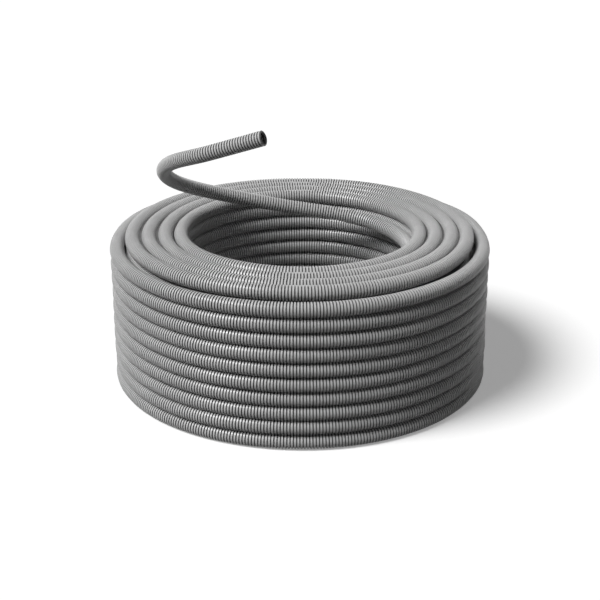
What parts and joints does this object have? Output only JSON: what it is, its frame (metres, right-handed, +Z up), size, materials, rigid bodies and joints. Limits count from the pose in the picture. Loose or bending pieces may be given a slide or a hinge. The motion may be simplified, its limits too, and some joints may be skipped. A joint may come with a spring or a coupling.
{
  "type": "coil of corrugated conduit",
  "caption": "Flexible corrugated plastic conduit wound into a flat round coil with an open bore, its ribbed free end lifted out of the hole.",
  "frame": {"origin": "on the floor under the middle of the coil", "axes": "+Z up along the coil's axis, -Y towards the side from which the cut end is seen, +X to that viewer's right"},
  "size_m": [0.4192, 0.4192, 0.3091],
  "materials": {
    "conduit_plastic": "satin mid-grey extruded plastic"
  },
  "bodies": {
    "root": {"coil": "conduit_plastic", "free_end": "conduit_plastic"}
  },
  "joints": []
}
